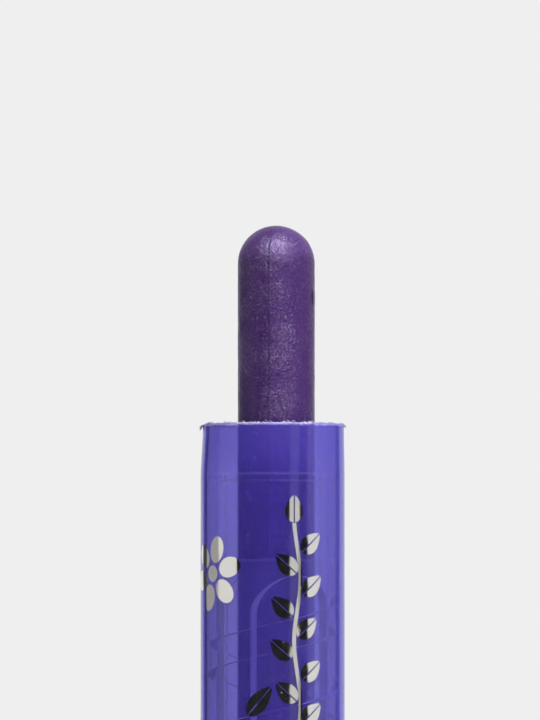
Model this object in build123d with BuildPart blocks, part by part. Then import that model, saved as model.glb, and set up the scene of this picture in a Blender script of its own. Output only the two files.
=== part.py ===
"""Twist crayon: a wax stick that a screw mechanism winds in and out of a tinted tube.

A cup grips the stick. Two round lugs on the cup pass through the straight windows of a guide sleeve, and a
thread on each lug rides in the helical groove of a spiral sleeve that is bonded inside the tube. Turning the
base turns the guide sleeve, the cup and the stick, and the groove screws the cup and the stick along the axis.

Millimetres and degrees. The origin is the centre of the base's foot, and +Z points to the crayon's tip.
"""

import os
from math import asin, cos, degrees, radians, sin

from build123d import *

# Wax stick
crayon_diameter = 8.0
crayon_length = 62.4
tip_rise = 20.7  # tip above the tube's rim, as shown
tip_drop = 2.0  # tip below the rim when wound right in

# Walls, from the stick outwards
cup_wall = 0.73
guide_wall = 0.9
spiral_wall = 1.0
barrel_wall = 0.6

# Clearances
grip_gap = 0.02  # stick in its cup, and base on the guide sleeve's tail
running_gap = 0.1  # round a piece that turns or slides in another
thread_gap = 0.15  # round the thread in its groove
bond_gap = 0.05  # adhesive between the spiral sleeve and the tube
stop_gap = 0.2  # round a lug in the end of its window
turn_gap = 0.4  # between the base and the tube
lead_in = 0.3  # chamfer at the mouth of a socket

# Drive thread
lead = 9.0  # advance for one turn
groove_width = 3.0
groove_web = 0.35  # wall left behind the groove
groove_run_out = 6.0  # degrees of groove past the thread's end, at each limit

# Cup
cup_height = 20.0
cup_grip = 9.0  # depth of the socket that holds the stick
cup_floor = 1.2
lug_margin = 0.3  # from the cup's foot to the lower lug

# Spiral and guide sleeves
spiral_drop = 14.1  # top of the spiral sleeve, below the rim
window_width = 8.0
window_angle = -62.0  # direction that the lower lug's window faces, from +X
window_margin = 1.7  # from the top of the spiral sleeve to the windows
window_land = 5.5  # from the tube's foot to the windows
collar_drop = 5.1  # top of the guide sleeve, below the rim
collar_height = 1.0
shoulder_height = 1.2
shoulder_gap = 0.3  # from the shoulder to the tube's bore
rim_chamfer = 0.25  # round the collar and round the top of the spiral sleeve

# Base
base_height = 16.0
base_floor = 3.0
base_edge = 0.8  # chamfer round the foot
base_lip = 0.4  # chamfer round the top
flute_count = 18
flute_radius = 0.9
flute_depth = 0.35
flute_margin = 3.2  # plain band above and below the flutes
foot_ring = 2.0  # width of the flat ring that the crayon stands on
foot_recess = 0.4

# Keys and snap bead between the base and the guide sleeve's tail
key_count = 6
key_width = 1.5
key_depth = 0.45
key_length = 6.0
bead_size = 0.3  # how far the bead stands out of the socket
bead_drop = 4.0  # bead below the top of the base

# Radii that follow, from the stick outwards
crayon_radius = crayon_diameter / 2
cup_bore = crayon_radius + grip_gap
cup_radius = cup_bore + cup_wall
guide_bore = cup_radius + running_gap
guide_radius = guide_bore + guide_wall
spiral_bore = guide_radius + running_gap
spiral_radius = spiral_bore + spiral_wall
barrel_bore = spiral_radius + bond_gap
barrel_radius = barrel_bore + barrel_wall
groove_radius = spiral_radius - groove_web
shoulder_radius = barrel_bore - shoulder_gap
collar_radius = barrel_bore - running_gap
socket_radius = guide_radius + grip_gap

# Lugs, and the thread on them
lug_radius = window_width / 2 - stop_gap
thread_radius = groove_radius - thread_gap
thread_width = groove_width - 2 * thread_gap
thread_half_angle = degrees(asin(lug_radius / guide_radius))

# Heights that follow, from the foot up: the lowest lug position sets the cup, the stick and the rim
travel_in = tip_rise + tip_drop
barrel_foot = base_height + turn_gap
window_foot_centre = barrel_foot + window_land + window_width / 2
lower_lug = window_foot_centre + stop_gap + travel_in
upper_lug = lower_lug + lead / 2  # half a turn round, so half a lead up
cup_foot = lower_lug - lug_radius - lug_margin
cup_rim = cup_foot + cup_height
crayon_foot = cup_rim - cup_grip
tip = crayon_foot + crayon_length
rim = tip - tip_rise
barrel_length = rim - barrel_foot
spiral_top = rim - spiral_drop
guide_top = rim - collar_drop
window_top_centre = spiral_top - window_margin - window_width / 2
travel_out = window_top_centre - stop_gap - upper_lug
tail_foot = base_floor + grip_gap
bead_height = base_height - bead_drop

# Ends of the drive groove
groove_margin = lead * (thread_half_angle + groove_run_out) / 360
groove_foot = lower_lug - travel_in - groove_margin
groove_top = upper_lug + travel_out + groove_margin
groove_start = window_angle + 360 * (groove_foot - lower_lug) / lead


def radial_plane(angle, radius, height):
    """Plane through the axis at an angle: its x runs outwards and its y runs up."""
    outwards = (cos(radians(angle)), sin(radians(angle)), 0)
    origin = (radius * outwards[0], radius * outwards[1], height)
    return Plane(origin, x_dir=outwards, z_dir=(outwards[1], -outwards[0], 0))


def facing_plane(angle, height):
    """Plane on the axis that faces outwards at an angle: its y runs up."""
    outwards = (cos(radians(angle)), sin(radians(angle)), 0)
    return Plane((0, 0, height), x_dir=(-outwards[1], outwards[0], 0), z_dir=outwards)


def screw_path(angle, foot, height):
    """Stretch of the drive helix, from a starting angle and height."""
    helix = Helix(lead, height, guide_radius, center=(0, 0, foot), mode=Mode.PRIVATE)
    return helix.rotate(Axis.Z, angle)


# Tinted tube, cut square at both ends
with BuildPart() as barrel_tube:
    with BuildSketch(Plane.XY.offset(barrel_foot)):
        Circle(barrel_radius)
        Circle(barrel_bore, mode=Mode.SUBTRACT)
    extrude(amount=barrel_length)
barrel_tube.part.label = "barrel_tube"

# Wax stick with a domed tip
with BuildPart() as crayon_stick:
    with BuildSketch(Plane.XZ):
        with BuildLine():
            shoulder = (crayon_radius, tip - crayon_radius)
            Polyline((0, tip), (0, crayon_foot), (crayon_radius, crayon_foot), shoulder)
            CenterArc((0, tip - crayon_radius), crayon_radius, 0, 90)
        make_face()
    revolve(axis=Axis.Z)
crayon_stick.part.label = "crayon_stick"

# Spiral sleeve, bonded inside the tube: the drive groove winds up its bore
with BuildPart() as spiral_sleeve:
    with BuildSketch(Plane.XY.offset(barrel_foot)):
        Circle(spiral_radius)
        Circle(spiral_bore, mode=Mode.SUBTRACT)
    extrude(amount=spiral_top - barrel_foot)
    top_rim = spiral_sleeve.edges().group_by(Axis.Z)[-1].sort_by(SortBy.LENGTH)[-1]
    chamfer(top_rim, min(rim_chamfer, spiral_wall / 3))
    with BuildSketch(radial_plane(groove_start, guide_radius, groove_foot)):
        Rectangle(groove_radius - guide_radius, groove_width, align=(Align.MIN, Align.CENTER))
    groove_path = screw_path(groove_start, groove_foot, groove_top - groove_foot)
    sweep(path=groove_path, is_frenet=True, mode=Mode.SUBTRACT)
spiral_sleeve.part.label = "spiral_sleeve"

# Guide sleeve: collar, shoulder over the spiral sleeve, two round-ended windows and a keyed tail
with BuildPart() as guide_sleeve:
    with BuildSketch(Plane.XZ):
        with Locations((guide_bore, tail_foot)):
            Rectangle(guide_wall, guide_top - tail_foot, align=(Align.MIN, Align.MIN))
        with Locations((guide_bore, guide_top)):
            Rectangle(collar_radius - guide_bore, collar_height, align=(Align.MIN, Align.MAX))
        with Locations((guide_bore, spiral_top + running_gap)):
            Rectangle(shoulder_radius - guide_bore, shoulder_height, align=(Align.MIN, Align.MIN))
        with Locations((guide_radius, bead_height)):
            RegularPolygon(bead_size + running_gap, 4, mode=Mode.SUBTRACT)
    revolve(axis=Axis.Z)
    mouth = guide_sleeve.edges().group_by(Axis.Z)[-1].sort_by(SortBy.LENGTH)[0]
    chamfer(mouth, min(lead_in, collar_height / 2))
    collar_rims = guide_sleeve.edges().filter_by(GeomType.CIRCLE).sort_by(SortBy.RADIUS)[-2:]
    chamfer(collar_rims, min(rim_chamfer, collar_height / 3))
    with BuildSketch(facing_plane(window_angle, (window_foot_centre + window_top_centre) / 2)):
        SlotCenterToCenter(window_top_centre - window_foot_centre, window_width, rotation=90)
    extrude(amount=barrel_radius, both=True, mode=Mode.SUBTRACT)
    with BuildSketch(Plane.XY.offset(tail_foot)):
        with PolarLocations(guide_radius - key_depth, key_count):
            Rectangle(2 * key_depth, key_width + 2 * grip_gap, align=(Align.MIN, Align.CENTER))
    extrude(amount=key_length + grip_gap, mode=Mode.SUBTRACT)
guide_sleeve.part.label = "guide_sleeve"

# Neck of the lower lug: a round button, flush with the guide sleeve's outside
with BuildPart() as lug_neck:
    with BuildSketch(facing_plane(window_angle, lower_lug)):
        Circle(lug_radius)
    extrude(amount=barrel_radius)
    with BuildSketch(Plane.XY.offset(lower_lug - lug_radius)):
        Circle(guide_radius)
    extrude(amount=2 * lug_radius, mode=Mode.INTERSECT)

# Thread on the lower lug: a stretch of the helix, trimmed to the lug's round outline
with BuildPart() as lug_thread:
    thread_start = window_angle - thread_half_angle
    thread_foot = lower_lug - lead * thread_half_angle / 360
    thread_root = guide_radius - guide_wall / 2
    with BuildSketch(radial_plane(thread_start, thread_root, thread_foot)):
        Rectangle(thread_radius - thread_root, thread_width, align=(Align.MIN, Align.CENTER))
    thread_path = screw_path(thread_start, thread_foot, lead * thread_half_angle / 180)
    sweep(path=thread_path, is_frenet=True)
    with BuildSketch(facing_plane(window_angle, lower_lug)):
        Circle(lug_radius)
    extrude(amount=barrel_radius, mode=Mode.INTERSECT)

# Cup: the socket that grips the stick, an open skirt under its floor, and a lug on each side
with BuildPart() as crayon_cup:
    with BuildSketch(Plane.XY.offset(cup_foot)):
        Circle(cup_radius)
    extrude(amount=cup_height)
    for turn in (0, 180):
        with Locations(Location((0, 0, lead * turn / 360), (0, 0, turn))):
            add(lug_neck.part)
            add(lug_thread.part)
    with BuildSketch(Plane.XY.offset(crayon_foot)):
        Circle(cup_bore)
    extrude(amount=cup_grip, mode=Mode.SUBTRACT)
    with BuildSketch(Plane.XY.offset(cup_foot)):
        Circle(cup_bore)
    extrude(amount=cup_height - cup_grip - cup_floor, mode=Mode.SUBTRACT)
    mouth = crayon_cup.edges().group_by(Axis.Z)[-1].sort_by(SortBy.LENGTH)[0]
    chamfer(mouth, min(lead_in, cup_wall / 2))
crayon_cup.part.label = "crayon_cup"

# Twist base: fluted grip, recessed foot, and a keyed socket that snaps onto the guide sleeve's tail
with BuildPart() as twist_base:
    with BuildSketch(Plane.XY):
        Circle(barrel_radius)
    extrude(amount=base_height)
    chamfer(twist_base.edges().sort_by(Axis.Z)[0], base_edge)
    chamfer(twist_base.edges().sort_by(Axis.Z)[-1], base_lip)
    with BuildSketch(Plane.XY.offset(flute_margin)):
        with PolarLocations(barrel_radius + flute_radius - flute_depth, flute_count):
            Circle(flute_radius)
    extrude(amount=base_height - 2 * flute_margin, mode=Mode.SUBTRACT)
    with BuildSketch(Plane.XY.offset(base_floor)):
        Circle(socket_radius)
        with PolarLocations(guide_radius - key_depth + grip_gap, key_count):
            Rectangle(2 * key_depth, key_width, align=(Align.MIN, Align.CENTER), mode=Mode.SUBTRACT)
    extrude(amount=key_length, mode=Mode.SUBTRACT)
    with BuildSketch(Plane.XY.offset(base_floor + key_length)):
        Circle(socket_radius)
    extrude(amount=base_height, mode=Mode.SUBTRACT)
    mouth = twist_base.edges().group_by(Axis.Z)[-1].sort_by(SortBy.LENGTH)[0]
    chamfer(mouth, lead_in)
    with BuildSketch(Plane.XZ):
        with Locations((socket_radius, bead_height)):
            RegularPolygon(bead_size, 4)
    revolve(axis=Axis.Z)
    with BuildSketch(Plane.XY):
        Circle(barrel_radius - base_edge - foot_ring)
    extrude(amount=foot_recess, mode=Mode.SUBTRACT)
twist_base.part.label = "twist_base"

os.makedirs("parts", exist_ok=True)
for piece in (barrel_tube, spiral_sleeve, guide_sleeve, crayon_cup, crayon_stick, twist_base):
    export_step(piece.part, f"parts/{piece.part.label}.step")

print(f"tube {2 * barrel_radius:.2f} across and {barrel_length:.2f} long, rim at {rim:.2f}, tip at {tip:.2f}")
print(f"winds in {travel_in:.2f}, which is {360 * travel_in / lead:.1f} degrees")
print(f"winds out {travel_out:.2f}, which is {360 * travel_out / lead:.1f} degrees")
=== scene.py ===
import math
import random

import bmesh
import bpy
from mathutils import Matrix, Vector, noise


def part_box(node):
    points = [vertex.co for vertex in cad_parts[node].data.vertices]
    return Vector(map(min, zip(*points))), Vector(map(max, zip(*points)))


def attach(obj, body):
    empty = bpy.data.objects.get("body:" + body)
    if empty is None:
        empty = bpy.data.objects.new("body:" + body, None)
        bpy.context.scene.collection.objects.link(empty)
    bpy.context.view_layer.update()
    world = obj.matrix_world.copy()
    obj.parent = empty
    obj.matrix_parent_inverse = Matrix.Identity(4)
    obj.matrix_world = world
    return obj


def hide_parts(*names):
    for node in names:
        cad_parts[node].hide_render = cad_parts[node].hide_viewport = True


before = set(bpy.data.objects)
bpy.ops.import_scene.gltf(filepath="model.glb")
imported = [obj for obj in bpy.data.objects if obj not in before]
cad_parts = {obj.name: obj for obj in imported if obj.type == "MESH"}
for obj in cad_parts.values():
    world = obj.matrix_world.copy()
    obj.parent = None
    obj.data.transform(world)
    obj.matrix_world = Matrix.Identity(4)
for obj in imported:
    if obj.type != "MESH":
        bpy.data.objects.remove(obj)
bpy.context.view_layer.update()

MM = 0.001

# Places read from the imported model
tube_low, tube_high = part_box("barrel_tube")
stick_low, stick_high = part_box("crayon_stick")
TUBE_RADIUS = tube_high.x
TUBE_FOOT = tube_low.z
RIM = tube_high.z
STICK_RADIUS = stick_high.x
STICK_FOOT = stick_low.z
TIP = stick_high.z

# Camera, from the photograph's frame of 540 by 720 pixels
PHOTO_WIDTH, PHOTO_HEIGHT = 540, 720
PHOTO_SCALE = 9.6 / MM  # pixels per metre
PHOTO_AXIS_X = 272.6  # pixel column of the tube's centre line
PHOTO_RIM_Y = 424.3  # pixel row of the rim
CAMERA_DISTANCE = 0.9
CAMERA_RISE = math.radians(-2.0)
SENSOR = 36.0

# Tube, drawn in and sawn at its rim
TUBE_WALL = 0.6 * MM
TUBE_SEGMENTS = 288
TUBE_ROWS = 12
NECK_ROWS = 30
NECK_REACH = 6.0 * MM  # how far below the rim the tube is drawn in
NECK_DEPTH = 0.2 * MM
NECK_LEAN = math.radians(200)  # side on which it is drawn in most
NECK_LEAST = 0.35  # share of the depth on the other side
NECK_SWING = 0.9  # share of the depth that is added on that side
SAW_CUT = 0.1 * MM  # what lies this near the rim is sawn
SAW_ROUGHNESS = 0.07 * MM
SAW_WAVES = ((0.5 * MM, 3.0), (2.5 * MM, 9.0))  # size and seed
SAW_SINK = 0.6  # share of the roughness by which the cut lies lower

# Saw burr on the rim
BURR_SEGMENTS = 1000
BURR_ROWS = 3
BURR_THICKNESS = 0.03 * MM
BURR_ROOT = 0.1 * MM  # depth of its root below the rim
BURR_INSET = 0.04 * MM  # from the tube's outside to its root
BURR_LEAST = 0.06 * MM  # height of the lip where nothing is torn
BURR_HEIGHT = 0.24 * MM
BURR_TEARS = ((0.22 * MM, 21.0, 1.0), (0.7 * MM, 33.0, 0.6))  # size, seed and strength
BURR_LEAN = 0.04 * MM  # outwards at its edge
BURR_SWAY = 0.12 * MM  # in and out about that lean
BURR_SWAY_WAVE = (0.5 * MM, 47.0)  # size and seed
BURR_FLAP_HALF = math.radians(9)
BURR_HOOK_HALF = math.radians(5)
BURR_HOOK_SHARE = 0.6  # the hook's reach over the flap's
BURR_FLAP_REACH = 0.36 * MM
BURR_FLAP_CURL = 2.0  # radians from its root to its edge
BURR_FLAP_DROP = 0.6 * MM
BURR_FLAP_FLATTENS = 0.7  # share of the lip's height that the flap takes away

# Loose curls on the rim
SHAVING_COUNT = 44
SHAVING_SEED = 5
SHAVING_STEPS = 6
SHAVING_FRONT = 40.0  # degrees to each side of the front, where every second one hangs
SHAVING_LENGTH = (0.2 * MM, 0.45 * MM)
SHAVING_WIDTH = (0.02 * MM, 0.05 * MM)
SHAVING_THICKNESS = 0.5 * BURR_THICKNESS
SHAVING_INSET = (0.0, 0.15 * MM)
SHAVING_SINK = 0.03 * MM
SHAVING_RISE = 0.9  # radians above level at which a curl starts
SHAVING_BEND = (0.5, 2.2)  # radians
SHAVING_SPREAD = (-0.2, 0.25)  # outward part of its heading

# Foil print
FOIL_LIFT = 0.004 * MM
FOIL_THICKNESS = 0.012 * MM
FOIL_CUTS = 160  # strips that take it round the tube
SPRIG_TOP = (297, 524)  # pixel of the stem's upper end
SPRIG_LENGTH = 46.0 * MM
SPRIG_STEM = 0.42 * MM
SPRIG_SWAY = 0.35 * MM
SPRIG_WAVE = 13.0 * MM
SPRIG_CUTS = 60
SPRIG_STEP = 2.2 * MM  # from leaf to leaf
LEAF_LENGTH = 3.1 * MM
LEAF_HALF_WIDTH = 0.9 * MM
LEAF_LEAN = math.radians(48)
LEAF_GAP = 0.12 * MM  # from the stem
LEAF_STEPS = 10
LEAF_SKEW = 0.8  # below 1, a leaf is widest nearer its stalk
VEIN_HALF_WIDTH = 0.07 * MM
VEIN_MARGIN = 0.04  # share of a leaf's length at which its vein starts and stops
TOP_LEAF_OVERLAP = 0.1 * MM
LOOSE_LEAF = (247, 716)  # pixel of the loose leaf's stalk
LOOSE_LEAF_LENGTH = 4.2 * MM
LOOSE_LEAF_LEAN = math.radians(-40)
FRONT_FLOWER = (213, 574)  # pixel of the flower at the left
FRONT_FLOWER_RADIUS = 3.9 * MM
OTHER_FLOWERS = (  # degrees to the right, depth below the rim, radius
    (122, 38 * MM, 3.6 * MM),
    (170, 54 * MM, 4.1 * MM),
    (-112, 46 * MM, 3.6 * MM),
    (-32, 62 * MM, 3.2 * MM),
)
PETALS = 6
PETAL_TURN = 0.25  # where the first petal stands, in steps from petal to petal
PETAL_REACH = 0.66  # of the flower's radius, to a petal's middle
PETAL_HALF_SIZE = (0.36, 0.27)  # of the flower's radius
HEART_RADIUS = 0.22  # of the flower's radius
RING_STEPS = 24

# Wax stick, which stands a little to one side in the mouth of the tube
STICK_SEGMENTS = 256
STICK_ROWS = 24
STICK_FINE_FROM = RIM - 2 * MM  # rows are closer above this
STICK_FINE_ROWS = 150
DOME_ROWS = 48
STICK_BEND = 0.38 * MM
BEND_FROM = STICK_FOOT
BEND_TO = RIM - 27 * MM
RELIEF_FROM = RIM - 4 * MM  # its surface is worn above this
STICK_SWELL = 0.01 * MM
STICK_DENTS = ((0.02 * MM, 0.7, 0.0), (0.012 * MM, 2.6, 7.0))  # depth, waves per millimetre and seed
SEAM_TURN = -12.0  # degrees to the camera's right
SEAM_DEPTH = 0.05 * MM
SEAM_HALF_WIDTH = math.radians(0.9)
SEAM_STEP = 0.03 * MM  # between the mould's two halves
SEAM_FADE = math.radians(9)
FLAKE_RISE = 13.2 * MM  # lifted flake at the right, above the rim
FLAKE_HALF_HEIGHT = 0.95 * MM
FLAKE_TURN = 70.0  # degrees to the camera's right of the crack along it
FLAKE_WIDTH = math.radians(34)
FLAKE_LIFT = 0.09 * MM
FIBRES = ((-42.0, 13.1 * MM), (13.8, 11.05 * MM))  # degrees to the right and rise above the rim

# Studio: places are degrees to the camera's right and up, and metres
BACKGROUND = 0.863  # linear value of the photograph's backdrop
WORLD_FILL = 0.06  # what the backdrop adds to the light
FLOOR_RADIUS = 4.0
FLOOR_NEAR = 0.12  # distance at which the floor starts to run into the backdrop
FLOOR_FAR = 0.5
FLOOR_SEGMENTS = 96
SOFTBOX_DISTANCE = 2.1
SOFTBOXES = (  # name, right, up, width and height, watts
    ("top_softbox", 18.0, 46.0, (3.6, 2.7), 80.0),
    ("overhead_softbox", 0.0, 86.0, (1.5, 1.5), 14.0),
    ("right_softbox", 65.0, 12.0, (1.2, 2.4), 18.0),
    ("back_softbox", 180.0, 38.0, (3.0, 2.4), 18.0),
)
CARD_DISTANCE = 1.2
CARD_FOOT, CARD_HEAD, CEILING = -0.6, 1.0, 1.8  # heights
CARD_STEPS = 24
CEILING_SEGMENTS = 64
BLACK_CARD = 0.008
DARK_CARD = 0.06
CARDS = (  # name, its two edges to the right, brightness, foot and head
    ("front_card", -60.0, 27.5, BLACK_CARD, CARD_FOOT, CARD_HEAD),
    ("strip_card", 27.5, 43.0, 0.7, CARD_FOOT, CARD_HEAD),
    ("side_card", 43.0, 58.0, BLACK_CARD, CARD_FOOT, CARD_HEAD),
    ("left_grey_card", -97.0, -131.0, 0.4, CARD_FOOT, CARD_HEAD),
    ("left_dark_card", -131.0, -146.0, DARK_CARD, CARD_FOOT, CARD_HEAD),
    ("right_grey_card", 97.0, 121.0, 0.62, CARD_FOOT, CARD_HEAD),
    ("right_dark_card", 121.0, 136.0, DARK_CARD, CARD_FOOT, CARD_HEAD),
    ("upper_card", -179.0, 179.0, DARK_CARD, CARD_HEAD, CEILING),
)
KEY_PLACE = (13.0, 50.0)
KEY_DISTANCE = 0.9
KEY_RADIUS = 0.26
KEY_SEGMENTS = 32
KEY_BRIGHTNESS = 66.0
LIGHT_BOUNCES = 24

# Meshes
MERGE_DISTANCE = 1e-7
CUT_DISTANCE = 1e-8
SHARP_EDGE = math.radians(35)


# Shader maths

class Value:
    """One output of a shader node, with the arithmetic that the finishes use."""

    def __init__(self, finish, socket):
        self.finish = finish
        self.socket = socket

    def maths(self, operation, *parts):
        return self.finish.node("ShaderNodeMath", {"operation": operation}, list(parts))

    def __add__(self, other):
        return self.maths("ADD", self, other)

    __radd__ = __add__

    def __sub__(self, other):
        return self.maths("SUBTRACT", self, other)

    def __rsub__(self, other):
        return self.maths("SUBTRACT", other, self)

    def __mul__(self, other):
        return self.maths("MULTIPLY", self, other)

    __rmul__ = __mul__

    def size(self):
        """The value without its sign."""
        return self.maths("ABSOLUTE", self)

    def most(self, other):
        """The larger of two values."""
        return self.maths("MAXIMUM", self, other)

    def within(self, low, high):
        """0 below low, 1 above high and smooth between them."""
        limits = {"Value": self, "From Min": low, "From Max": high}
        return self.finish.node("ShaderNodeMapRange", {"interpolation_type": "SMOOTHSTEP"}, limits)


class Finish:
    """A material or a world in the making: one method adds any node, and one joins up the surface."""

    MIX_FIRST, MIX_SECOND, MIX_RESULT = 6, 7, 2  # a Mix node's sockets for colours
    SPECK_CORE, SPECK_EDGE = 0.05, 0.09  # shares of a cell within which a speck is whole, and ends

    def __init__(self, name, world=False):
        self.owner = (bpy.data.worlds if world else bpy.data.materials).new(name)
        self.owner.use_nodes = True
        self.tree = self.owner.node_tree
        self.tree.nodes.clear()
        self.output = self.tree.nodes.new("ShaderNodeOutputWorld" if world else "ShaderNodeOutputMaterial")

    def node(self, kind, settings=None, inputs=None, output=0):
        """Adds a node, sets its properties, then fills its sockets with values or links."""
        node = self.tree.nodes.new(kind)
        for name, setting in (settings or {}).items():
            setattr(node, name, setting)
        pairs = enumerate(inputs) if isinstance(inputs, list) else (inputs or {}).items()
        for key, value in pairs:
            self.fill(node.inputs[key], value)
        return Value(self, node.outputs[output])

    def fill(self, socket, value):
        if isinstance(value, Value):
            self.tree.links.new(value.socket, socket)
        else:
            socket.default_value = value

    def vector(self, operation, *parts):
        """Vector maths that gives a vector."""
        return self.node("ShaderNodeVectorMath", {"operation": operation}, list(parts))

    def measure(self, operation, *parts):
        """Vector maths that gives a number."""
        return self.node("ShaderNodeVectorMath", {"operation": operation}, list(parts), "Value")

    def along(self, vector, axis):
        """One coordinate of a vector."""
        return self.node("ShaderNodeSeparateXYZ", {}, [vector], axis)

    def place(self):
        return self.node("ShaderNodeTexCoord", output="Object")

    def height(self):
        return self.along(self.place(), "Z")

    def stretched(self, scale):
        """Object coordinates, scaled by axis."""
        return self.node("ShaderNodeMapping", {}, {"Vector": self.place(), "Scale": scale})

    def noise(self, where, scale, detail=4.0, roughness=0.55):
        inputs = {"Vector": where, "Scale": scale, "Detail": detail, "Roughness": roughness}
        return self.node("ShaderNodeTexNoise", {}, inputs, "Fac")

    def specks(self, where, scale, edge=SPECK_EDGE):
        """1 on small scattered specks and 0 between them."""
        inputs = {"Vector": where, "Scale": scale}
        distance = self.node("ShaderNodeTexVoronoi", {"feature": "F1"}, inputs, "Distance")
        return 1.0 - distance.within(self.SPECK_CORE, edge)

    def edge_faces(self, ring_share):
        """1 on the sides of windows and grooves, a share of that on rims, and 0 on the round walls."""
        outward = self.vector("NORMALIZE", self.vector("MULTIPLY", self.place(), (1.0, 1.0, 0.0)))
        normal = self.node("ShaderNodeTexCoord", output="Normal")
        facing = self.measure("DOT_PRODUCT", outward, normal).size()
        upward = self.along(normal, "Z").size()
        level = upward.within(0.98, 0.995)
        chamfered = (upward * facing).within(0.3, 0.42)
        round_wall = facing.within(0.75, 0.95)
        return (1.0 - round_wall) * (1.0 - (1.0 - ring_share) * level.most(chamfered))

    def spot(self, where, centre, stretch, inner, outer):
        """1 within a small upright spot, that many times taller than wide, and 0 outside it."""
        offset = self.vector("SUBTRACT", where, centre)
        squashed = self.vector("MULTIPLY", offset, (1.0, 1.0, 1.0 / stretch))
        return 1.0 - self.measure("LENGTH", squashed).within(inner, outer)

    def looked_at(self):
        """1 for rays from the camera, from gloss and through clear plastic, and 0 for the rest."""
        seen = self.node("ShaderNodeLightPath", output="Is Camera Ray")
        for ray in ("Is Glossy Ray", "Is Transmission Ray"):
            seen = seen.most(self.node("ShaderNodeLightPath", output=ray))
        return seen

    def mix(self, factor, first, second):
        inputs = {"Factor": factor, self.MIX_FIRST: first, self.MIX_SECOND: second}
        return self.node("ShaderNodeMix", {"data_type": "RGBA"}, inputs, self.MIX_RESULT)

    def bump(self, height, strength, distance):
        inputs = {"Strength": strength, "Distance": distance, "Height": height}
        return self.node("ShaderNodeBump", {}, inputs)

    def shader(self, **sockets):
        """A Principled shader: socket names with underscores for spaces."""
        inputs = {name.replace("_", " "): value for name, value in sockets.items()}
        return self.node("ShaderNodeBsdfPrincipled", {}, inputs)

    def blend(self, cover, under, over):
        """One shader, and another that covers a share of it."""
        return self.node("ShaderNodeMixShader", {}, [cover, under, over])

    def close(self, surface, volume=None):
        """Joins the finished shader to the output."""
        self.fill(self.output.inputs["Surface"], surface)
        if volume:
            self.fill(self.output.inputs["Volume"], volume)
        return self.owner

    def surface(self, **sockets):
        return self.close(self.shader(**sockets))


def colour(red, green, blue):
    return (red, green, blue, 1.0)


def grey(level):
    return colour(level, level, level)


# Finishes: scales of noise and of specks are waves or cells to the metre

TINT = (0.498, 0.474, 0.868)  # share of red, green and blue that passes one wall of the tube
MILK = (0.165, 0.118, 0.69)
MILK_SHADE = 0.85  # of the milk's colour, where it is darkest
MILK_HAZE = 160.0
TUBE_MILKINESS = 0.155
BASE_MILKINESS = 0.35
NECK_LIGHT_MILKINESS = 0.08  # added in the neck: painted light, for light that enters at the open rim
NECK_LIGHT_FROM, NECK_LIGHT_TO = 7.0 * MM, 1.0 * MM  # below the rim, where that painted light starts and is whole
PLASTIC_IOR = 1.49
DRAWN_LINES = (900, 900, 12)
DRAWN_DEPTH = 0.01 * MM
DUST = 1100.0
DUST_COLOUR = grey(0.8)
DUST_COVER = 0.6
TORN_COLOUR = colour(0.50, 0.46, 0.90)
TORN_COVER = 0.8
TORN_DEPTH = 0.25 * MM
TORN_RAGGEDNESS = 0.5 * MM
TORN_GRAIN = 3000.0
MARKED_COVER = 0.7  # milkiness of dust and of what is torn


def tinted_plastic(name, milkiness, torn_from):
    """Tinted plastic: coloured in its depth, a little milky and dusty, and frosted where it is sawn. Towards
    the rim it is made milkier, as painted light.
    """
    finish = Finish(name)
    where = finish.place()
    lines = finish.noise(finish.stretched(DRAWN_LINES), 1.0, 3.0)
    haze = finish.noise(where, MILK_HAZE, 3.0)
    dust = DUST_COVER * finish.specks(where, DUST)
    ragged = finish.height() + TORN_RAGGEDNESS * finish.noise(where, TORN_GRAIN, 2.0)
    torn = TORN_COVER * ragged.within(torn_from, torn_from + TORN_DEPTH)
    relief = finish.bump(lines, 0.1, DRAWN_DEPTH)
    clear = finish.shader(
        Base_Color=grey(1.0),
        Roughness=0.03 + 0.04 * haze,
        IOR=PLASTIC_IOR,
        Transmission_Weight=1.0,
        Normal=relief,
    )
    deep = colour(*(MILK_SHADE * part for part in MILK))
    frosted = finish.mix(torn, finish.mix(haze, deep, colour(*MILK)), TORN_COLOUR)
    milk = finish.shader(
        Base_Color=finish.mix(dust, frosted, DUST_COLOUR),
        Roughness=0.6,
        Specular_IOR_Level=0.0,
        Normal=relief,
    )
    absorbed = [-math.log(part) / TUBE_WALL for part in TINT]
    density = max(absorbed)
    passed = colour(*(1.0 - part / density for part in absorbed))
    depth = finish.node("ShaderNodeVolumeAbsorption", {}, {"Color": passed, "Density": density})
    # Painted light: the tube is made milkier towards its rim.
    neck = finish.height().within(torn_from - NECK_LIGHT_FROM, torn_from - NECK_LIGHT_TO)
    milky = milkiness + NECK_LIGHT_MILKINESS * neck
    cover = milky + (MARKED_COVER - milky) * dust.most(torn)
    return finish.close(finish.blend(cover, clear, milk), depth)


SLEEVE_HAZE = 220.0
SLEEVE_IOR = 1.05  # low, so that the sleeves hardly bend what is seen through them
SLEEVE_CLEAR = (colour(0.98, 0.98, 0.99), grey(1.0))
SLEEVE_MILKY = (colour(0.92, 0.92, 0.95), colour(0.97, 0.97, 0.99))
SLEEVE_EDGE_COVER = 0.95  # milkiness along a moulded edge


def clear_plastic(name, ring_share, wall_haze):
    """Clear moulded plastic of the inner sleeves, a little hazy, and milky along its moulded edges."""
    finish = Finish(name)
    haze = finish.noise(finish.place(), SLEEVE_HAZE, 3.0)
    clear = finish.shader(
        Base_Color=finish.mix(haze, *SLEEVE_CLEAR),
        Roughness=0.04 + 0.06 * haze,
        IOR=SLEEVE_IOR,
        Transmission_Weight=1.0,
    )
    milky = finish.shader(
        Base_Color=finish.mix(haze, *SLEEVE_MILKY),
        Roughness=0.7,
        IOR=1.2,
        Transmission_Weight=0.15,
    )
    cover = wall_haze + (SLEEVE_EDGE_COVER - wall_haze) * finish.edge_faces(ring_share)
    return finish.close(finish.blend(cover, clear, milky))


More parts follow.
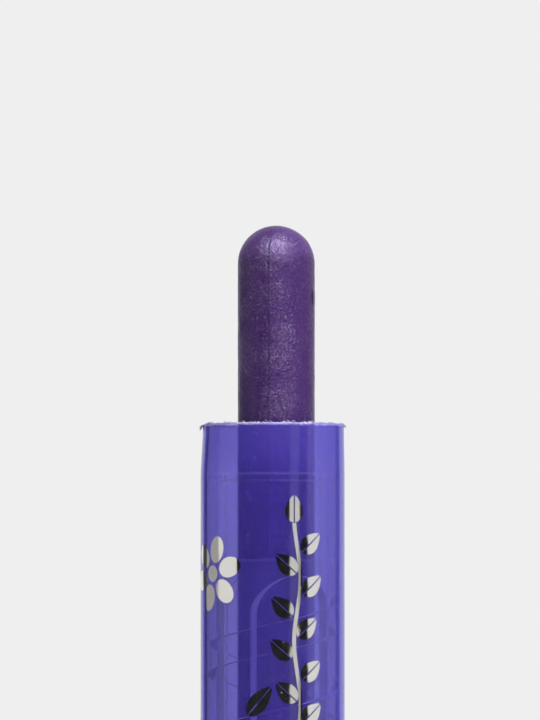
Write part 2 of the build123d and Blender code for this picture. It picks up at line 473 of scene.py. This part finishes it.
CUP_HAZE = 300.0
CUP_COLOURS = (colour(0.70, 0.69, 0.71), colour(0.80, 0.79, 0.80))
CUP_RELIEF = 0.05 * MM


def natural_plastic():
    """Milky plastic of the cup."""
    finish = Finish("natural_plastic")
    haze = finish.noise(finish.place(), CUP_HAZE, 3.0)
    return finish.surface(
        Base_Color=finish.mix(haze, *CUP_COLOURS),
        Roughness=0.35 + 0.15 * haze,
        Normal=finish.bump(haze, 0.1, CUP_RELIEF),
    )


WAX_COLOURS = (colour(0.038, 0.007, 0.098), colour(0.049, 0.009, 0.123))
# Pale violet of crystal flecks, partly real crystals and partly painted glints.
WAX_CRYSTAL_AND_GLINT = colour(0.34, 0.24, 0.53)
# Painted light: the lighter violet of the dome's top, where light falls from above.
WAX_PAINTED_TOP_LIGHT = colour(0.36, 0.19, 0.66)
# Painted highlight: the pale colour beside the flake's crack, where its lifted face catches the light.
WAX_FLAKE_HIGHLIGHT = colour(0.22, 0.15, 0.31)
# Dark colour of the seam line and of dark flecks, and painted shade in the crack and the pits.
WAX_DARK_AND_SHADE = colour(0.012, 0.006, 0.025)
FIBRE_COLOUR = colour(0.20, 0.17, 0.13)
WAX_IOR = 1.33
WAX_RELIEF = 0.11 * MM
WAX_CLOUDS = 300.0
WAX_GRAIN = 4800.0
WAX_GLITTER = 4300.0
WAX_FLECKS = 5600.0
WAX_PITS = 700.0
PIT_EDGE = 0.11  # share of a cell
SEAM_LINE = (0.03 * MM, 0.1 * MM)  # from the seam, where its dark line starts and stops fading
LEFT_HALF_PAINTED_SHADE = 0.22  # painted shade: how much darker the wax is painted to the left of the seam, as if lit from the right
RUBBED_FROM, RUBBED_TO = 2.2 * MM, 3.4 * MM  # to the right of the seam
DOME_FROM, DOME_TO = 4.0 * MM, 2.5 * MM  # below the tip, where the dome's painted top light, finer relief and fewer flecks start and are whole
CRACK_SHADE_STRETCH = 5.5  # height over width of the painted shade along the flake's crack
CRACK_SHADE_EDGE = (0.10 * MM, 0.17 * MM)
FLAKE_HIGHLIGHT_TURN = 12.0  # degrees from the crack to the flake's painted highlight
FLAKE_HIGHLIGHT_STRETCH = 1.5
FLAKE_HIGHLIGHT_EDGE = (0.55 * MM, 0.68 * MM)
FLAKE_HIGHLIGHT_GRAIN = 2200.0
FIBRE_STRETCH = 1.5
FIBRE_EDGE = (0.05 * MM, 0.13 * MM)


def wax():
    """Dark violet wax: drifts of fine crystals that glint, rubbed patches, a mould seam, pits and a flake.
    Its colour also holds painted light: painted shade left of the seam, in the crack and in the pits, a
    painted top light on the dome, a painted highlight beside the flake, and pale flecks that are partly
    painted glints.
    """
    finish = Finish("wax")
    where = finish.place()
    cloud = finish.noise(where, WAX_CLOUDS, 3.0)
    drift = cloud.within(0.38, 0.60)
    grain = finish.noise(where, WAX_GRAIN, 3.0, 0.65)
    ridges = 1.0 - (grain - 0.5).size().within(0.012, 0.05)
    crystals = ridges * finish.noise(where, WAX_GLITTER, 1.0).within(0.46, 0.58)
    fleck = finish.noise(where, WAX_FLECKS, 1.0)
    # Dark flecks of the grain.
    dark_flecks = 1.0 - fleck.within(0.36, 0.46)
    pits = finish.specks(where, WAX_PITS, PIT_EDGE) * cloud.within(0.5, 0.56)

    across = around(front_angle(SEAM_TURN + 90.0), 1.0, 0.0)
    side = finish.measure("DOT_PRODUCT", where, across) - across.x * STICK_BEND
    seam = 1.0 - side.size().within(*SEAM_LINE)
    right_half = side.within(-SEAM_LINE[1], SEAM_LINE[1])
    dome = finish.height().within(TIP - DOME_FROM, TIP - DOME_TO)
    rubbed = side.within(RUBBED_FROM, RUBBED_TO).most(dome)
    # Pale and dark flecks are fewer where the drifts thin, on the rubbed patch and the dome, and left of the
    # seam, where fewer painted glints fall.
    grainy = (0.25 + 0.75 * drift) * (0.35 + 0.65 * right_half) * (1.0 - 0.6 * rubbed)

    base = finish.mix(cloud.within(0.3, 0.7), *WAX_COLOURS)
    # Painted shade: the half of the wax left of the seam is painted darker.
    shaded_left = finish.mix(right_half, finish.mix(LEFT_HALF_PAINTED_SHADE, base, grey(0.0)), base)
    # Pale flecks: partly crystals, partly painted glints.
    sparkle = (0.22 * crystals).most(0.36 * fleck.within(0.57, 0.67))
    crystals_and_glints = finish.mix(sparkle * grainy, shaded_left, WAX_CRYSTAL_AND_GLINT)
    # Painted light: the dome is painted lighter towards its top; these marks also carry the flake's painted
    # highlight.
    marked_and_lit = finish.mix(0.12 * dome, crystals_and_glints, WAX_PAINTED_TOP_LIGHT)
    # Painted highlight: a pale, broken patch beside the flake's crack.
    highlight_spot = finish.spot(where, stick_place(FLAKE_TURN + FLAKE_HIGHLIGHT_TURN, FLAKE_RISE), FLAKE_HIGHLIGHT_STRETCH, *FLAKE_HIGHLIGHT_EDGE)
    flake_highlight = highlight_spot * finish.noise(where, FLAKE_HIGHLIGHT_GRAIN, 2.0).within(0.42, 0.58)
    marked_and_lit = finish.mix(0.6 * flake_highlight, marked_and_lit, WAX_FLAKE_HIGHLIGHT)
    for degrees, rise in FIBRES:
        fibre = finish.spot(where, stick_place(degrees, rise), FIBRE_STRETCH, *FIBRE_EDGE)
        marked_and_lit = finish.mix(0.7 * fibre, marked_and_lit, FIBRE_COLOUR)

    # Painted shade: a dark upright spot along the flake's crack, where the lifted flake shades it.
    crack_shade = finish.spot(where, stick_place(FLAKE_TURN, FLAKE_RISE), CRACK_SHADE_STRETCH, *CRACK_SHADE_EDGE)
    # Painted shade in the crack and in the pits, with the seam's dark line and the grain's dark flecks.
    dark = (0.9 * crack_shade).most(0.8 * pits).most(0.55 * seam).most(0.58 * dark_flecks * grainy)
    relief = (grain + 0.4 * crystals) * (0.2 + 0.8 * drift) + 0.8 * dome * fleck + 0.4 * cloud - pits
    return finish.surface(
        Base_Color=finish.mix(dark, marked_and_lit, WAX_DARK_AND_SHADE),
        Roughness=0.22 + 0.14 * grain,
        IOR=WAX_IOR,
        Normal=finish.bump(relief, 1.0, WAX_RELIEF),
    )


def stick_place(degrees_right, rise):
    """Point on the side of the wax stick, above the rim."""
    return around(front_angle(degrees_right), STICK_RADIUS, RIM + rise) + Vector((STICK_BEND, 0.0, 0.0))


FRAYED_DARK = (colour(0.30, 0.27, 0.60), colour(0.13, 0.11, 0.36))  # at the front and back, painted lighter, and at the sides, in painted shade
FRAYED_PALE = (colour(0.82, 0.80, 0.93), colour(0.36, 0.33, 0.66))
FRAYED_FROM, FRAYED_TO = STICK_RADIUS - 0.5 * MM, STICK_RADIUS + 1.0 * MM  # sideways from the axis, where the painted shade of the sides starts and is whole
FRAYED_FIBRES = 4200.0
FRAYED_RELIEF = 0.05 * MM


def frayed_plastic():
    """The tube's plastic where the saw has torn it: dull and cloudy, painted lighter at the front and back
    and in painted shade at the sides.
    """
    finish = Finish("frayed_plastic")
    where = finish.place()
    fibre = finish.noise(where, FRAYED_FIBRES, 3.0)
    # Painted light and shade: the torn plastic is paler at the front and back and darker at the sides.
    side_shade = finish.along(where, "X").size().within(FRAYED_FROM, FRAYED_TO)
    dark = finish.mix(side_shade, *FRAYED_DARK)
    pale = finish.mix(side_shade, *FRAYED_PALE)
    return finish.surface(
        Base_Color=finish.mix(fibre.within(0.35, 0.65), dark, pale),
        Roughness=0.45,
        IOR=PLASTIC_IOR,
        Normal=finish.bump(fibre, 0.4, FRAYED_RELIEF),
    )


FOIL_CREASES = (500, 500, 220)
FOIL_CREASE_DEPTH = 0.02 * MM
FOIL_COLOURS = (colour(0.71, 0.69, 0.65), colour(0.80, 0.78, 0.74))
FOIL_TONES = 900.0
FOIL_SPECKS = 1300.0
FOIL_SHEEN = 1500.0


def silver_foil():
    """Hot-stamped foil: mirror-like, with faint creases and specks of dulled metal."""
    finish = Finish("silver_foil")
    where = finish.place()
    crease = finish.noise(finish.stretched(FOIL_CREASES), 1.0, 2.0)
    specks = finish.specks(where, FOIL_SPECKS)
    tone = finish.mix(finish.noise(where, FOIL_TONES), *FOIL_COLOURS)
    return finish.surface(
        Base_Color=finish.mix(specks, tone, grey(0.5)),
        Metallic=1.0,
        Roughness=0.06 + 0.05 * finish.noise(where, FOIL_SHEEN, 2.0) + 0.5 * specks,
        Normal=finish.bump(crease, 0.05, FOIL_CREASE_DEPTH),
    )


PAPER_FIBRES = 900.0
PAPER_COLOURS = (grey(0.64), grey(0.67))


def paper_floor():
    """Pale paper, which runs into the backdrop away from the crayon."""
    finish = Finish("paper_floor")
    where = finish.place()
    fibre = finish.noise(where, PAPER_FIBRES, 4.0)
    backdrop = finish.looked_at() * finish.measure("LENGTH", where).within(FLOOR_NEAR, FLOOR_FAR)
    return finish.surface(
        Base_Color=finish.mix(backdrop, finish.mix(fibre, *PAPER_COLOURS), grey(0.0)),
        Roughness=0.9,
        Specular_IOR_Level=0.0,
        Emission_Color=finish.mix(backdrop, grey(0.0), grey(BACKGROUND)),
        Emission_Strength=1.0,
    )


def studio_card(brightness):
    """Card of one brightness, which lights nothing but what mirrors it."""
    return Finish("studio_card").surface(
        Base_Color=grey(0.0),
        Roughness=1.0,
        Specular_IOR_Level=0.0,
        Emission_Color=grey(brightness),
        Emission_Strength=1.0,
    )


# Mesh helpers

def revolve_outline(points, closed, segments):
    """Spins an outline of (radius, height) points round the axis into a closed skin."""
    shape = bmesh.new()
    verts = [shape.verts.new((radius, 0.0, height)) for radius, height in points]
    pairs = list(zip(verts, verts[1:]))
    if closed:
        pairs.append((verts[-1], verts[0]))
    edges = [shape.edges.new(pair) for pair in pairs]
    bmesh.ops.spin(shape, geom=verts + edges, axis=(0, 0, 1), cent=(0, 0, 0), angle=math.tau,
                   steps=segments, use_merge=True)
    bmesh.ops.remove_doubles(shape, verts=shape.verts, dist=MERGE_DISTANCE)
    bmesh.ops.recalc_face_normals(shape, faces=shape.faces)
    return shape


def disc(radius, segments):
    """Flat round sheet about the axis."""
    shape = bmesh.new()
    bmesh.ops.create_circle(shape, cap_ends=True, segments=segments, radius=radius)
    return shape


def evenly(low, high, count):
    """Evenly spaced values, with both ends."""
    return [low + (high - low) * step / count for step in range(count + 1)]


def parts_of(geometry, kind):
    """Those parts of an operator's result that are of one kind."""
    return [part for part in geometry if isinstance(part, kind)]


def make_piece(name, shape, finish):
    """Turns a bmesh into an object with smooth faces and sharp corners."""
    for edge in shape.edges:
        edge.smooth = edge.calc_face_angle(0.0) < SHARP_EDGE
    mesh = bpy.data.meshes.new(name)
    shape.to_mesh(mesh)
    shape.free()
    mesh.shade_smooth()
    mesh.materials.append(finish)
    piece = bpy.data.objects.new(name, mesh)
    bpy.context.scene.collection.objects.link(piece)
    return piece


def front_angle(degrees_right):
    """Angle from +X of a direction that many degrees to the camera's right."""
    return math.radians(degrees_right - 90.0)


def angle_between(angle, other):
    """Signed turn from one angle to another, within half a turn."""
    return (angle - other + math.pi) % math.tau - math.pi


def around(angle, radius, height):
    """Point at that distance from the axis, with the angle counted from +X."""
    return Vector((radius * math.cos(angle), radius * math.sin(angle), height))


def wobble(angle, size, seed):
    """Signed noise round the tube, with features of about that size."""
    return noise.noise(around(angle, TUBE_RADIUS, 0.0) / size + Vector((seed, seed, seed)))


# Tube

def tube_draw(angle, height):
    """How far the tube is drawn in near its sawn rim."""
    depth = (RIM - height) / NECK_REACH
    if depth >= 1.0:
        return 0.0
    fade = (1.0 - depth) ** 2 * (1.0 + 2.0 * depth)
    lean = 0.5 + 0.5 * math.cos(angle - NECK_LEAN)
    return NECK_DEPTH * fade * (NECK_LEAST + NECK_SWING * lean)


def make_tube(finish):
    """Tinted tube: a wall with a sawn, slightly drawn-in rim."""
    neck = RIM - NECK_REACH
    rows = evenly(TUBE_FOOT, neck, TUBE_ROWS) + evenly(neck, RIM, NECK_ROWS)[1:]
    outer = [(TUBE_RADIUS, height) for height in rows]
    inner = [(TUBE_RADIUS - TUBE_WALL, height) for height in reversed(rows)]
    shape = revolve_outline(outer + inner, True, TUBE_SEGMENTS)
    for vert in shape.verts:
        angle = math.atan2(vert.co.y, vert.co.x)
        radius = math.hypot(vert.co.x, vert.co.y) - tube_draw(angle, vert.co.z)
        height = vert.co.z
        if height > RIM - SAW_CUT:
            waves = sum(wobble(angle, size, seed) for size, seed in SAW_WAVES)
            height += SAW_ROUGHNESS * (waves - SAW_SINK)
        vert.co = around(angle, radius, height)
    tube = make_piece("tube_shell", shape, finish)
    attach(tube, "barrel")
    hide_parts("barrel_tube")


# Saw burr

def burr_flap(angle):
    """How much of the lip hangs outwards: a flap at the left and a small hook at the right."""
    left = math.exp(-((angle_between(angle, math.pi) / BURR_FLAP_HALF) ** 2))
    right = math.exp(-((angle_between(angle, 0.0) / BURR_HOOK_HALF) ** 2))
    return left + BURR_HOOK_SHARE * right


def burr_place(angle, share):
    """Point of the torn lip, from share 0 at its root to 1 at its edge."""
    flap = burr_flap(angle)
    lean = BURR_LEAN + BURR_SWAY * wobble(angle, *BURR_SWAY_WAVE)
    out = share * lean + flap * BURR_FLAP_REACH * math.sin(BURR_FLAP_CURL * share)
    tear = sum(strength * abs(wobble(angle, size, seed)) for size, seed, strength in BURR_TEARS)
    height = (BURR_LEAST + BURR_HEIGHT * tear) * (1.0 - BURR_FLAP_FLATTENS * flap)
    rise = share * height - flap * BURR_FLAP_DROP * share ** 3
    radius = TUBE_RADIUS - BURR_INSET - tube_draw(angle, RIM) + out
    return around(angle, radius, RIM - BURR_ROOT + rise)


def make_burr(finish):
    """Torn lip of the sawn rim: a thin ragged ribbon that leans in and out, with a flap at the left."""
    shape = bmesh.new()
    bmesh.ops.create_circle(shape, segments=BURR_SEGMENTS, radius=TUBE_RADIUS)
    rows = [shape.verts[:]]
    edges = shape.edges[:]
    for number in range(BURR_ROWS):
        grown = bmesh.ops.extrude_edge_only(shape, edges=edges)["geom"]
        edges = parts_of(grown, bmesh.types.BMEdge)
        rows.append(parts_of(grown, bmesh.types.BMVert))
    for number, row in enumerate(rows):
        for vert in row:
            vert.co = burr_place(math.atan2(vert.co.y, vert.co.x), number / BURR_ROWS)
    bmesh.ops.recalc_face_normals(shape, faces=shape.faces)
    bmesh.ops.solidify(shape, geom=shape.faces[:], thickness=BURR_THICKNESS)
    burr = make_piece("saw_burr", shape, finish)
    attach(burr, "barrel")


def add_shaving(shape, angle):
    """One curl of plastic, which starts at the rim and bends as it runs along it."""
    turn = random.choice((-1.0, 1.0))
    length = random.uniform(*SHAVING_LENGTH)
    width = random.uniform(*SHAVING_WIDTH)
    bend = random.uniform(*SHAVING_BEND)
    radius = TUBE_RADIUS - tube_draw(angle, RIM) - random.uniform(*SHAVING_INSET)
    outward = around(angle, random.uniform(*SHAVING_SPREAD), 0.0)
    along = Vector((-math.sin(angle), math.cos(angle), 0.0)) * turn
    upward = Vector((0.0, 0.0, 1.0))
    root = around(angle, radius, RIM - SHAVING_SINK)
    edge = shape.edges.new([shape.verts.new(root), shape.verts.new(root + upward * width)])
    for step in range(SHAVING_STEPS):
        lift = SHAVING_RISE - bend * step / SHAVING_STEPS
        heading = (along * math.cos(lift) + upward * math.sin(lift) + outward).normalized()
        grown = bmesh.ops.extrude_edge_only(shape, edges=[edge])["geom"]
        edge = parts_of(grown, bmesh.types.BMEdge)[0]
        bmesh.ops.translate(shape, verts=edge.verts[:], vec=heading * length / SHAVING_STEPS)


def make_shavings(finish):
    """Loose curls of plastic that hang on the rim."""
    shape = bmesh.new()
    for number in range(SHAVING_COUNT):
        angle = random.uniform(0.0, math.tau)
        if number % 2:
            angle = front_angle(random.uniform(-SHAVING_FRONT, SHAVING_FRONT))
        add_shaving(shape, angle)
    bmesh.ops.recalc_face_normals(shape, faces=shape.faces)
    bmesh.ops.solidify(shape, geom=shape.faces[:], thickness=SHAVING_THICKNESS)
    shavings = make_piece("saw_shavings", shape, finish)
    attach(shavings, "barrel")


# Foil print

def stamp(shape, outline):
    """Adds a flat patch of foil, whose first coordinate runs round the tube and second along it."""
    shape.faces.new([shape.verts.new((across, 0.0, along)) for across, along in outline])


def turned(outline, centre, angle):
    """Outline turned about its start and moved to its place."""
    cosine, sine = math.cos(angle), math.sin(angle)
    return [(centre[0] + cosine * x - sine * y, centre[1] + sine * x + cosine * y) for x, y in outline]


def half_leaf(length, side):
    """One half of a leaf, from its stalk to its tip, beside the vein."""
    vein = side * VEIN_HALF_WIDTH
    edge = []
    for share in evenly(0.0, 1.0, LEAF_STEPS)[1:-1]:
        bulge = math.sin(math.pi * share ** LEAF_SKEW)
        edge.append((side * (VEIN_HALF_WIDTH + LEAF_HALF_WIDTH * bulge), length * share))
    return [(vein, length * (1.0 - VEIN_MARGIN)), (vein, length * VEIN_MARGIN)] + edge


def leaf(shape, stalk, angle, length):
    for side in (-1.0, 1.0):
        stamp(shape, turned(half_leaf(length, side), stalk, angle))


def sprig(shape, centre, low, high):
    """Wavy stem with leaves on alternate sides and one at its top."""
    def stem(along):
        return centre + SPRIG_SWAY * math.sin(math.tau * along / SPRIG_WAVE)
    half_stem = 0.5 * SPRIG_STEM
    places = evenly(low, high, SPRIG_CUTS)
    left = [(stem(along) - half_stem, along) for along in places]
    right = [(stem(along) + half_stem, along) for along in reversed(places)]
    stamp(shape, left + right)
    for number in range(int((high - low) / SPRIG_STEP)):
        along = low + (number + 0.5) * SPRIG_STEP
        side = 1.0 if number % 2 else -1.0
        stalk = (stem(along) + side * (half_stem + LEAF_GAP), along)
        leaf(shape, stalk, -side * LEAF_LEAN, LEAF_LENGTH)
    leaf(shape, (stem(high), high - TOP_LEAF_OVERLAP), 0.0, LEAF_LENGTH)


def ring_points(half_length, half_width):
    """Points round an oval."""
    angles = [math.tau * step / RING_STEPS for step in range(RING_STEPS)]
    return [(half_length * math.cos(angle), half_width * math.sin(angle)) for angle in angles]


def flower(shape, centre, radius):
    """Separate oval petals about a round middle."""
    petal = ring_points(*(share * radius for share in PETAL_HALF_SIZE))
    reach = PETAL_REACH * radius
    for number in range(PETALS):
        angle = math.tau * (number + PETAL_TURN) / PETALS
        middle = (centre[0] + reach * math.cos(angle), centre[1] + reach * math.sin(angle))
        stamp(shape, turned(petal, middle, angle))
    heart = HEART_RADIUS * radius
    stamp(shape, turned(ring_points(heart, heart), centre, 0.0))


def photo_place(x, y):
    """Arc length round the front of the tube and height of a pixel on the tube."""
    turn = math.asin((x - PHOTO_AXIS_X) / (PHOTO_SCALE * TUBE_RADIUS))
    return turn * TUBE_RADIUS, RIM - (y - PHOTO_RIM_Y) / PHOTO_SCALE


def make_foil(finish):
    """Stamped silver print: a leafy sprig up the front and flowers round the tube."""
    shape = bmesh.new()
    sprig_place, sprig_top = photo_place(*SPRIG_TOP)
    sprig(shape, sprig_place, sprig_top - SPRIG_LENGTH, sprig_top)
    flower(shape, photo_place(*FRONT_FLOWER), FRONT_FLOWER_RADIUS)
    leaf(shape, photo_place(*LOOSE_LEAF), LOOSE_LEAF_LEAN, LOOSE_LEAF_LENGTH)
    for degrees, drop, radius in OTHER_FLOWERS:
        flower(shape, (math.radians(degrees) * TUBE_RADIUS, RIM - drop), radius)
    half_way_round = math.pi * TUBE_RADIUS
    for across in evenly(-half_way_round, half_way_round, FOIL_CUTS):
        everything = shape.verts[:] + shape.edges[:] + shape.faces[:]
        bmesh.ops.bisect_plane(shape, geom=everything, dist=CUT_DISTANCE, plane_co=(across, 0, 0),
                               plane_no=(1, 0, 0))
    for vert in shape.verts:
        angle = front_angle(0.0) + vert.co.x / TUBE_RADIUS
        vert.co = around(angle, TUBE_RADIUS + FOIL_LIFT, vert.co.z)
    bmesh.ops.recalc_face_normals(shape, faces=shape.faces)
    for face in shape.faces:
        if face.normal.dot(face.calc_center_median() * Vector((1, 1, 0))) < 0:
            face.normal_flip()
    bmesh.ops.solidify(shape, geom=shape.faces[:], thickness=-FOIL_THICKNESS)
    foil = make_piece("silver_print", shape, finish)
    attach(foil, "barrel")


# Wax stick

def seam_relief(angle):
    """How far the wax stands out where the mould's two halves met: a groove, and a step that fades."""
    relief = 0.0
    for seam in (front_angle(SEAM_TURN), front_angle(SEAM_TURN + 180.0)):
        gap = angle_between(angle, seam)
        relief -= SEAM_DEPTH * math.exp(-((gap / SEAM_HALF_WIDTH) ** 2))
        if gap < 0.0:
            relief -= SEAM_STEP * math.exp(gap / SEAM_FADE)
    return relief


def flake_relief(angle, rise):
    """How far the flake at the right lifts, with a sharp near edge."""
    share = rise / FLAKE_HALF_HEIGHT
    past = angle_between(angle, front_angle(FLAKE_TURN))
    if abs(share) >= 1.0 or not 0.0 < past < FLAKE_WIDTH:
        return 0.0
    return FLAKE_LIFT * (1.0 - share * share) * (1.0 - past / FLAKE_WIDTH)


def stick_relief(place):
    """How far a point of the stick stands out: soft dents, the mould seam and the flake."""
    angle = math.atan2(place.y, place.x)
    relief = STICK_SWELL
    for depth, waves, seed in STICK_DENTS:
        relief += depth * noise.noise(place / MM * waves + Vector((seed, 0.0, 0.0)))
    relief += seam_relief(angle) * min(1.0, math.hypot(place.x, place.y) / STICK_RADIUS)
    return relief + flake_relief(angle, place.z - RIM - FLAKE_RISE)


def make_stick(finish):
    """Wax stick: a domed bar with a mould seam, soft dents and a lifted flake, bent a little to one side."""
    dome = TIP - STICK_RADIUS
    rows = evenly(STICK_FOOT, STICK_FINE_FROM, STICK_ROWS)
    rows += evenly(STICK_FINE_FROM, dome, STICK_FINE_ROWS)[1:]
    outline = [(0.0, STICK_FOOT)] + [(STICK_RADIUS, height) for height in rows]
    for lift in evenly(0.0, 0.5 * math.pi, DOME_ROWS)[1:-1]:
        outline.append((STICK_RADIUS * math.cos(lift), dome + STICK_RADIUS * math.sin(lift)))
    outline.append((0.0, TIP))
    shape = revolve_outline(outline, False, STICK_SEGMENTS)
    for vert in shape.verts:
        if vert.co.z >= RELIEF_FROM:
            centre = Vector((0.0, 0.0, min(vert.co.z, dome)))
            vert.co += (vert.co - centre).normalized() * stick_relief(vert.co)
    for vert in shape.verts:
        share = min(1.0, max(0.0, vert.co.z - BEND_FROM) / (BEND_TO - BEND_FROM))
        vert.co.x += STICK_BEND * share * share * (3.0 - 2.0 * share)
    stick = make_piece("wax_stick", shape, finish)
    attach(stick, "carrier")
    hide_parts("crayon_stick")


# Scene

def dress_node(name, finish):
    """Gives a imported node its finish."""
    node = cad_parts[name]
    node.data.materials.clear()
    node.data.materials.append(finish)


def place_camera():
    aim = Vector((
        (PHOTO_WIDTH / 2 - PHOTO_AXIS_X) / PHOTO_SCALE,
        0.0,
        RIM + (PHOTO_RIM_Y - PHOTO_HEIGHT / 2) / PHOTO_SCALE,
    ))
    away = Vector((0.0, -math.cos(CAMERA_RISE), math.sin(CAMERA_RISE)))
    data = bpy.data.cameras.new("camera")
    data.sensor_width = SENSOR
    data.lens = SENSOR * CAMERA_DISTANCE * PHOTO_SCALE / PHOTO_HEIGHT
    camera = bpy.data.objects.new("camera", data)
    camera.location = aim + CAMERA_DISTANCE * away
    camera.rotation_euler = (-away).to_track_quat("-Z", "Y").to_euler()
    bpy.context.scene.collection.objects.link(camera)
    bpy.context.scene.camera = camera


def direction(right, up):
    """Unit vector that many degrees to the camera's right and up."""
    lift = math.radians(up)
    return around(front_angle(right), math.cos(lift), math.sin(lift))


def place_softbox(name, right, up, size, power):
    """Area light, aimed at the crayon's visible end and left out of its gloss."""
    out = direction(right, up)
    data = bpy.data.lights.new(name, "AREA")
    data.shape = "RECTANGLE"
    data.size, data.size_y = size
    data.energy = power
    light = bpy.data.objects.new(name, data)
    light.location = Vector((0.0, 0.0, RIM)) + SOFTBOX_DISTANCE * out
    light.rotation_euler = (-out).to_track_quat("-Z", "Y").to_euler()
    light.visible_glossy = False
    light.visible_camera = False
    bpy.context.scene.collection.objects.link(light)


def place_card(name, left, right, brightness, foot, head):
    """Upright curved card that only reflections see."""
    shape = bmesh.new()
    ends = [shape.verts.new(around(front_angle(left), CARD_DISTANCE, height)) for height in (foot, head)]
    edge = shape.edges.new(ends)
    bmesh.ops.spin(shape, geom=ends + [edge], axis=(0, 0, 1), cent=(0, 0, 0),
                   angle=math.radians(right - left), steps=CARD_STEPS)
    hide_card(make_piece(name, shape, studio_card(brightness)))


def place_ceiling():
    """Level card overhead that only reflections see."""
    shape = disc(CARD_DISTANCE, CEILING_SEGMENTS)
    bmesh.ops.translate(shape, verts=shape.verts, vec=(0.0, 0.0, CEILING))
    hide_card(make_piece("ceiling_card", shape, studio_card(DARK_CARD)))


def place_key():
    """Round bright card, as a key light is seen in gloss."""
    out = direction(*KEY_PLACE)
    shape = disc(KEY_RADIUS, KEY_SEGMENTS)
    facing = out.to_track_quat("Z", "Y").to_matrix()
    bmesh.ops.rotate(shape, verts=shape.verts, cent=(0, 0, 0), matrix=facing)
    bmesh.ops.translate(shape, verts=shape.verts, vec=Vector((0.0, 0.0, RIM)) + KEY_DISTANCE * out)
    hide_card(make_piece("key_card", shape, studio_card(KEY_BRIGHTNESS)))


def hide_card(piece):
    """Leaves a card to reflections and to what is seen through the plastic."""
    piece.visible_camera = False
    piece.visible_diffuse = False
    piece.visible_shadow = False


def place_floor(finish):
    shape = disc(FLOOR_RADIUS, FLOOR_SEGMENTS)
    make_piece("floor", shape, finish)


def light_world():
    """Pale backdrop for what looks at it or through it, and a softer fill for the rest."""
    sky = Finish("backdrop", world=True)
    level = WORLD_FILL + (BACKGROUND - WORLD_FILL) * sky.looked_at()
    bpy.context.scene.world = sky.close(sky.node("ShaderNodeBackground", {}, {"Color": level}))


random.seed(SHAVING_SEED)
scene = bpy.context.scene
scene.view_settings.view_transform = "Standard"
scene.cycles.max_bounces = LIGHT_BOUNCES
scene.cycles.transmission_bounces = LIGHT_BOUNCES

make_tube(tinted_plastic("tinted_plastic", TUBE_MILKINESS, RIM - SAW_CUT))
torn_finish = frayed_plastic()
make_burr(torn_finish)
make_shavings(torn_finish)
make_foil(silver_foil())
make_stick(wax())
dress_node("spiral_sleeve", clear_plastic("clear_spiral", ring_share=0.16, wall_haze=0.04))
dress_node("guide_sleeve", clear_plastic("clear_guide", ring_share=0.2, wall_haze=0.0))
dress_node("crayon_cup", natural_plastic())
dress_node("twist_base", tinted_plastic("tinted_base", BASE_MILKINESS, RIM))

place_camera()
place_floor(paper_floor())
light_world()
for card in CARDS:
    place_card(*card)
place_ceiling()
place_key()
for softbox in SOFTBOXES:
    place_softbox(*softbox)
